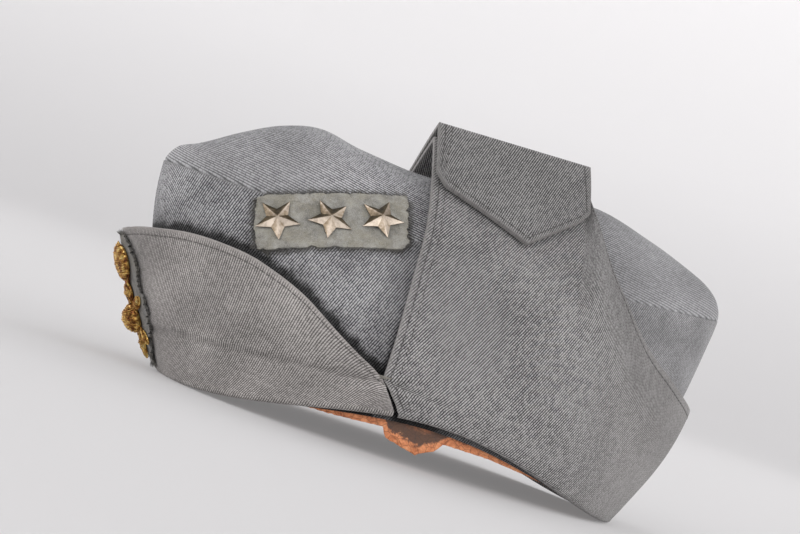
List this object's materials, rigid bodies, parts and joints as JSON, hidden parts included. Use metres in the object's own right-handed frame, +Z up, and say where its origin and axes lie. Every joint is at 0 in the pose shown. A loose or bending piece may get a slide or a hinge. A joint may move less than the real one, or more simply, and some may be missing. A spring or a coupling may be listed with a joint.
{
  "type": "military side cap",
  "caption": "Grey wool side cap with a front flap and neck flaps turned up, one buttoned over the crown by a pointed tab, with metal stars on a felt patch and a bullion badge.",
  "frame": {"origin": "bottom centre of the bounding box, on the surface that the cap rests on", "axes": "-X towards the front and its badge, +X the nape, -Y the wearer's left with the stars, +Z up"},
  "size_m": [0.2882, 0.1712, 0.1567],
  "materials": {
    "grey_wool_twill": "matte wool twill, dark grey with light flecks",
    "patch_felt": "fuzzy grey-green felt",
    "badge_felt": "ragged dark grey felt",
    "worn_leather": "orange-tan sweatband leather, flaking",
    "star_metal": "tarnished white metal",
    "gold_bullion": "worn gold wire and thread",
    "hidden_button": "plain dark button"
  },
  "bodies": {
    "root": {"crown_side_left": "grey_wool_twill", "crown_side_right": "grey_wool_twill", "crown_top": "grey_wool_twill", "front_flap": "grey_wool_twill", "neck_flap_left": "grey_wool_twill", "neck_flap_right": "grey_wool_twill", "tab_button": "hidden_button", "sweatband": "worn_leather", "rank_patch": "patch_felt", "star_1": "star_metal", "star_2": "star_metal", "star_3": "star_metal", "badge_backing": "badge_felt", "badge_plume": "gold_bullion", "badge_collar": "gold_bullion", "badge_boss": "gold_bullion", "badge_tail": "gold_bullion", "badge_leaf_upper_left": "gold_bullion", "badge_leaf_upper_right": "gold_bullion", "badge_leaf_lower_left": "gold_bullion", "badge_leaf_lower_right": "gold_bullion"}
  },
  "joints": []
}
